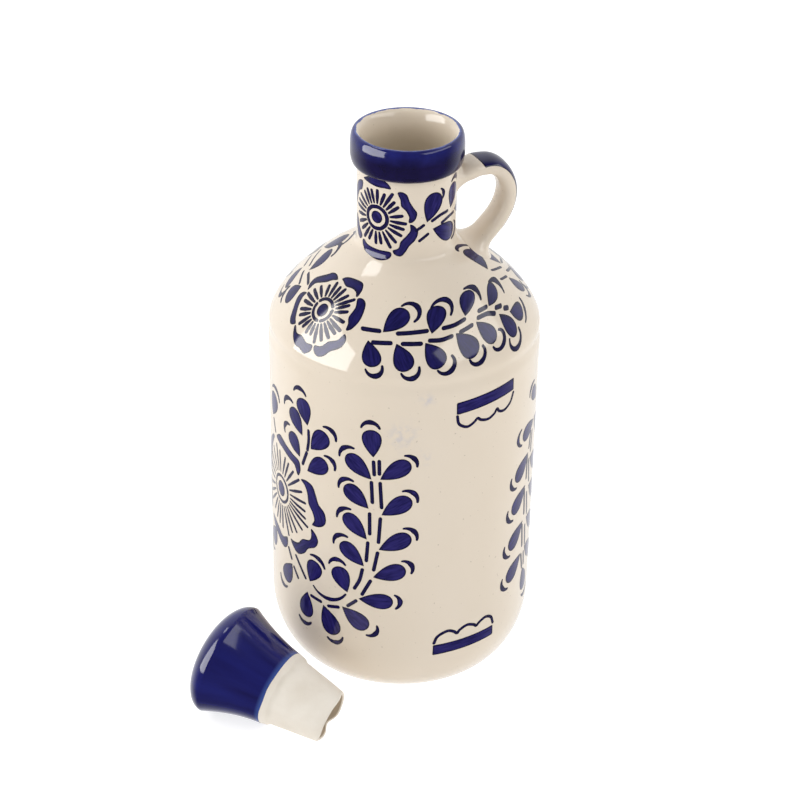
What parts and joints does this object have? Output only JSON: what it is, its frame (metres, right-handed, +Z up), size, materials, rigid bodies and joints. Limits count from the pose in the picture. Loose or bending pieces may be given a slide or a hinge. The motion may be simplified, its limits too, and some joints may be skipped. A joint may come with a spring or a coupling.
{
  "type": "stoppered bottle",
  "caption": "Glazed stoneware bottle with a domed shoulder, rolled mouth, side loop handle and a loose flared hollow stopper lying beside it.",
  "frame": {"origin": "centre of the flat base that the bottle stands on, on the bottle's axis", "axes": "+Z up along the bottle's axis, +X to the right with the handle on the +X side (turned 18 degrees to the back), -Y to the front where the stopper lies"},
  "size_m": [0.1265, 0.1288, 0.215],
  "materials": {
    "cream_glaze": "gloss",
    "cobalt_glaze": "gloss",
    "bare_clay": "matte"
  },
  "bodies": {
    "bottle": {"body_cylinder": "cream_glaze", "shoulder_dome": "cream_glaze", "neck_tube": "cream_glaze", "mouth_collar": "cobalt_glaze", "handle_loop": "cream_glaze"},
    "stopper": {"stopper_head": "cobalt_glaze", "stopper_shank": "bare_clay"}
  },
  "joints": [
    {"name": "stopper_lift", "type": "slide", "parent": "bottle", "child": "stopper", "axis": [0, 0, 1], "range_m": [0, 0.21]}
  ]
}
